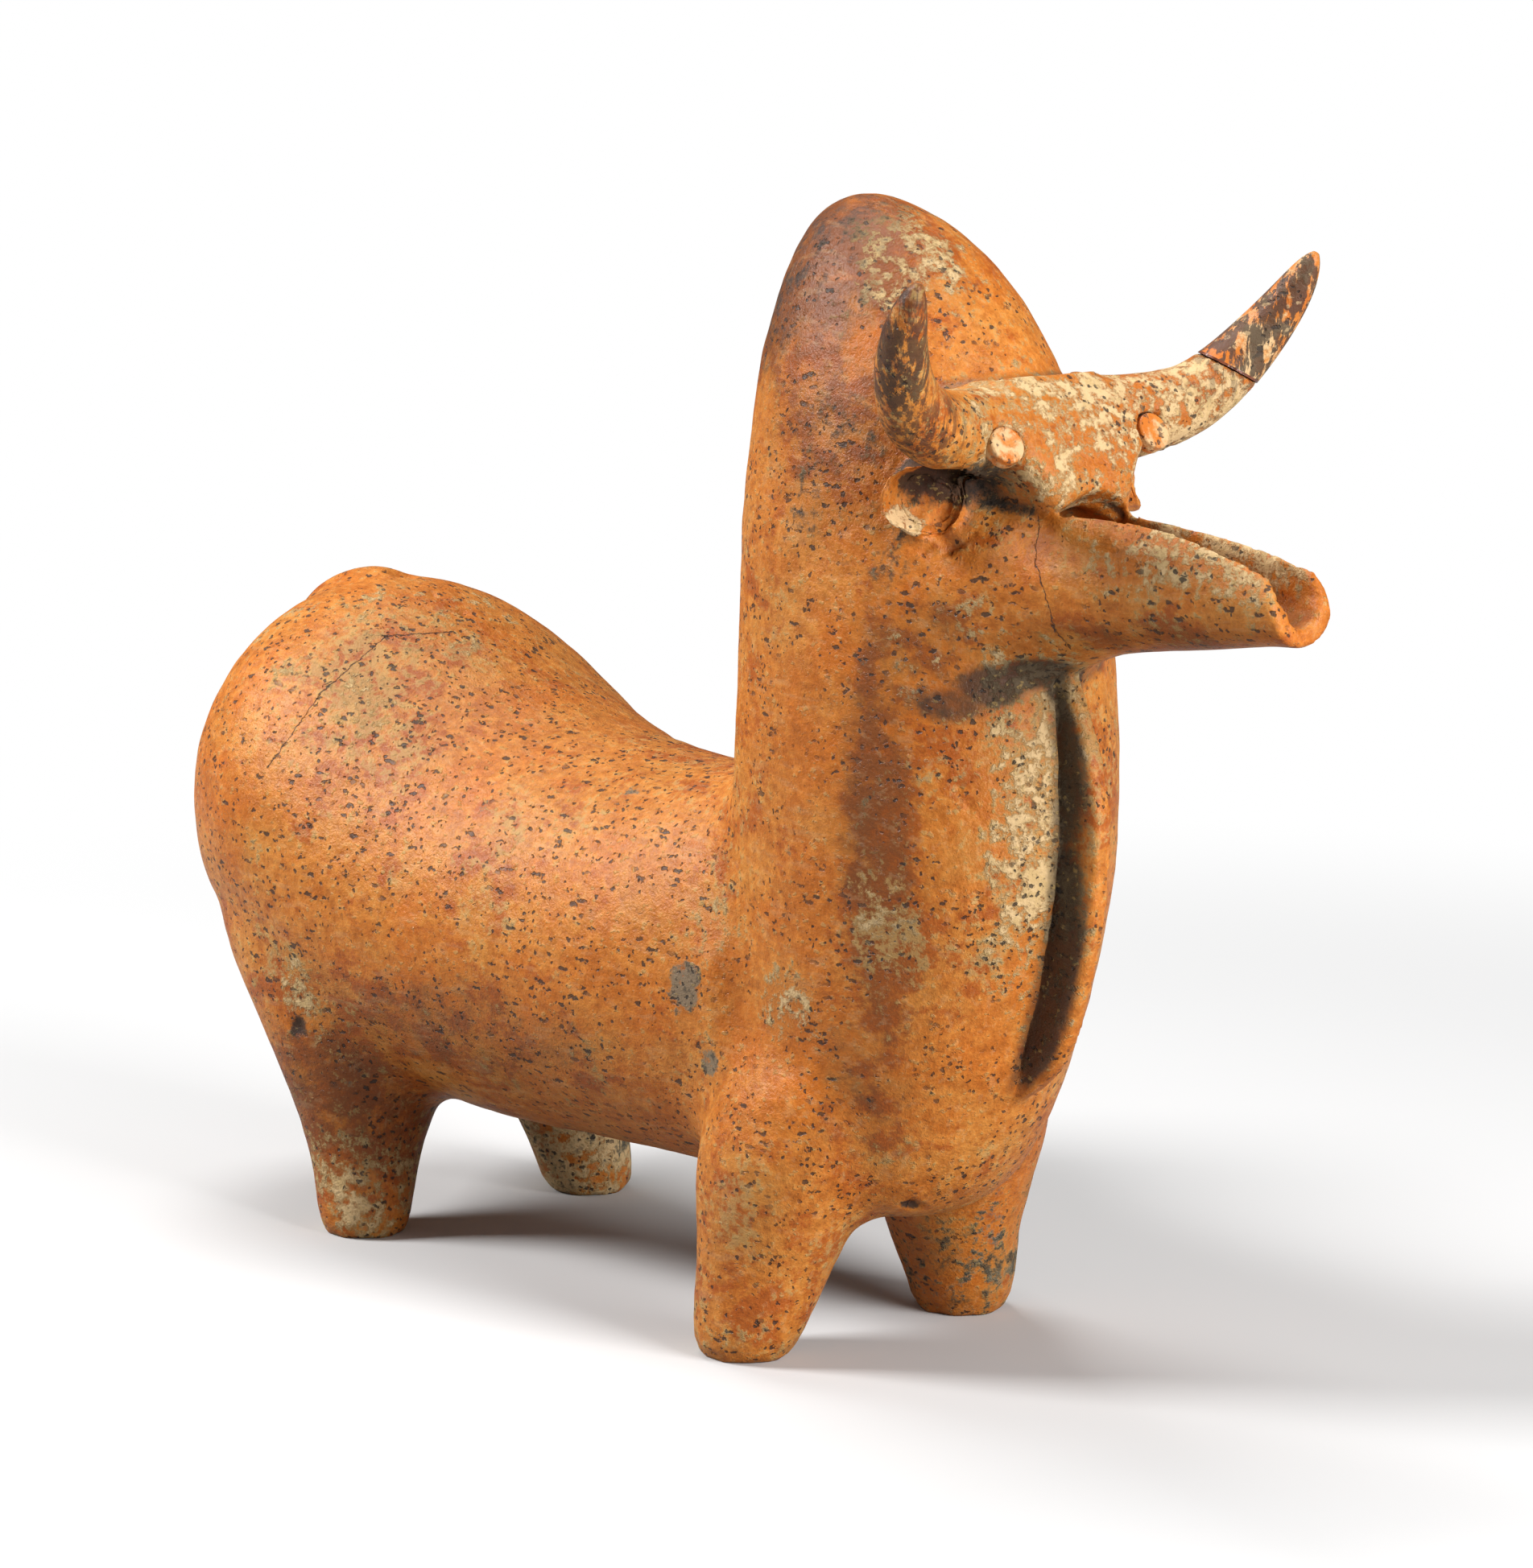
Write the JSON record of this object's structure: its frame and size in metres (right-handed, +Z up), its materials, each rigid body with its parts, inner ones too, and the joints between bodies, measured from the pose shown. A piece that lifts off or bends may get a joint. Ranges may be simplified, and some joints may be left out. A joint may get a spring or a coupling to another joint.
{
  "type": "animal-shaped pouring vessel",
  "caption": "Hollow fired-clay vessel in the shape of a standing humped bull, with a long open pouring spout under its face.",
  "frame": {"origin": "middle of the bounding box's base, on the plane that the four feet stand on", "axes": "+X towards the spout, +Y towards the animal's left, +Z up"},
  "size_m": [0.354, 0.1142, 0.25],
  "materials": {
    "burnished_clay": "burnished orange-red slip, worn, with cream deposits and fine dark specks",
    "encrusted_clay": "worn slip under pale cream deposits, streaked dark grey",
    "old_glue": "dark red-brown glossy glue"
  },
  "bodies": {
    "root": {"body_barrel": "burnished_clay", "dewlap": "burnished_clay", "front_left_leg": "burnished_clay", "front_right_leg": "burnished_clay", "head": "encrusted_clay", "horn_glue_line": "old_glue", "left_ear_stump": "encrusted_clay", "left_eye": "encrusted_clay", "left_horn_base": "encrusted_clay", "left_horn_tip": "encrusted_clay", "neck_and_hump": "burnished_clay", "pouring_spout": "burnished_clay", "rear_left_leg": "burnished_clay", "rear_right_leg": "burnished_clay", "right_ear_stump": "encrusted_clay", "right_eye": "encrusted_clay", "right_horn": "encrusted_clay", "spout_root": "burnished_clay", "tail": "burnished_clay"}
  },
  "joints": []
}
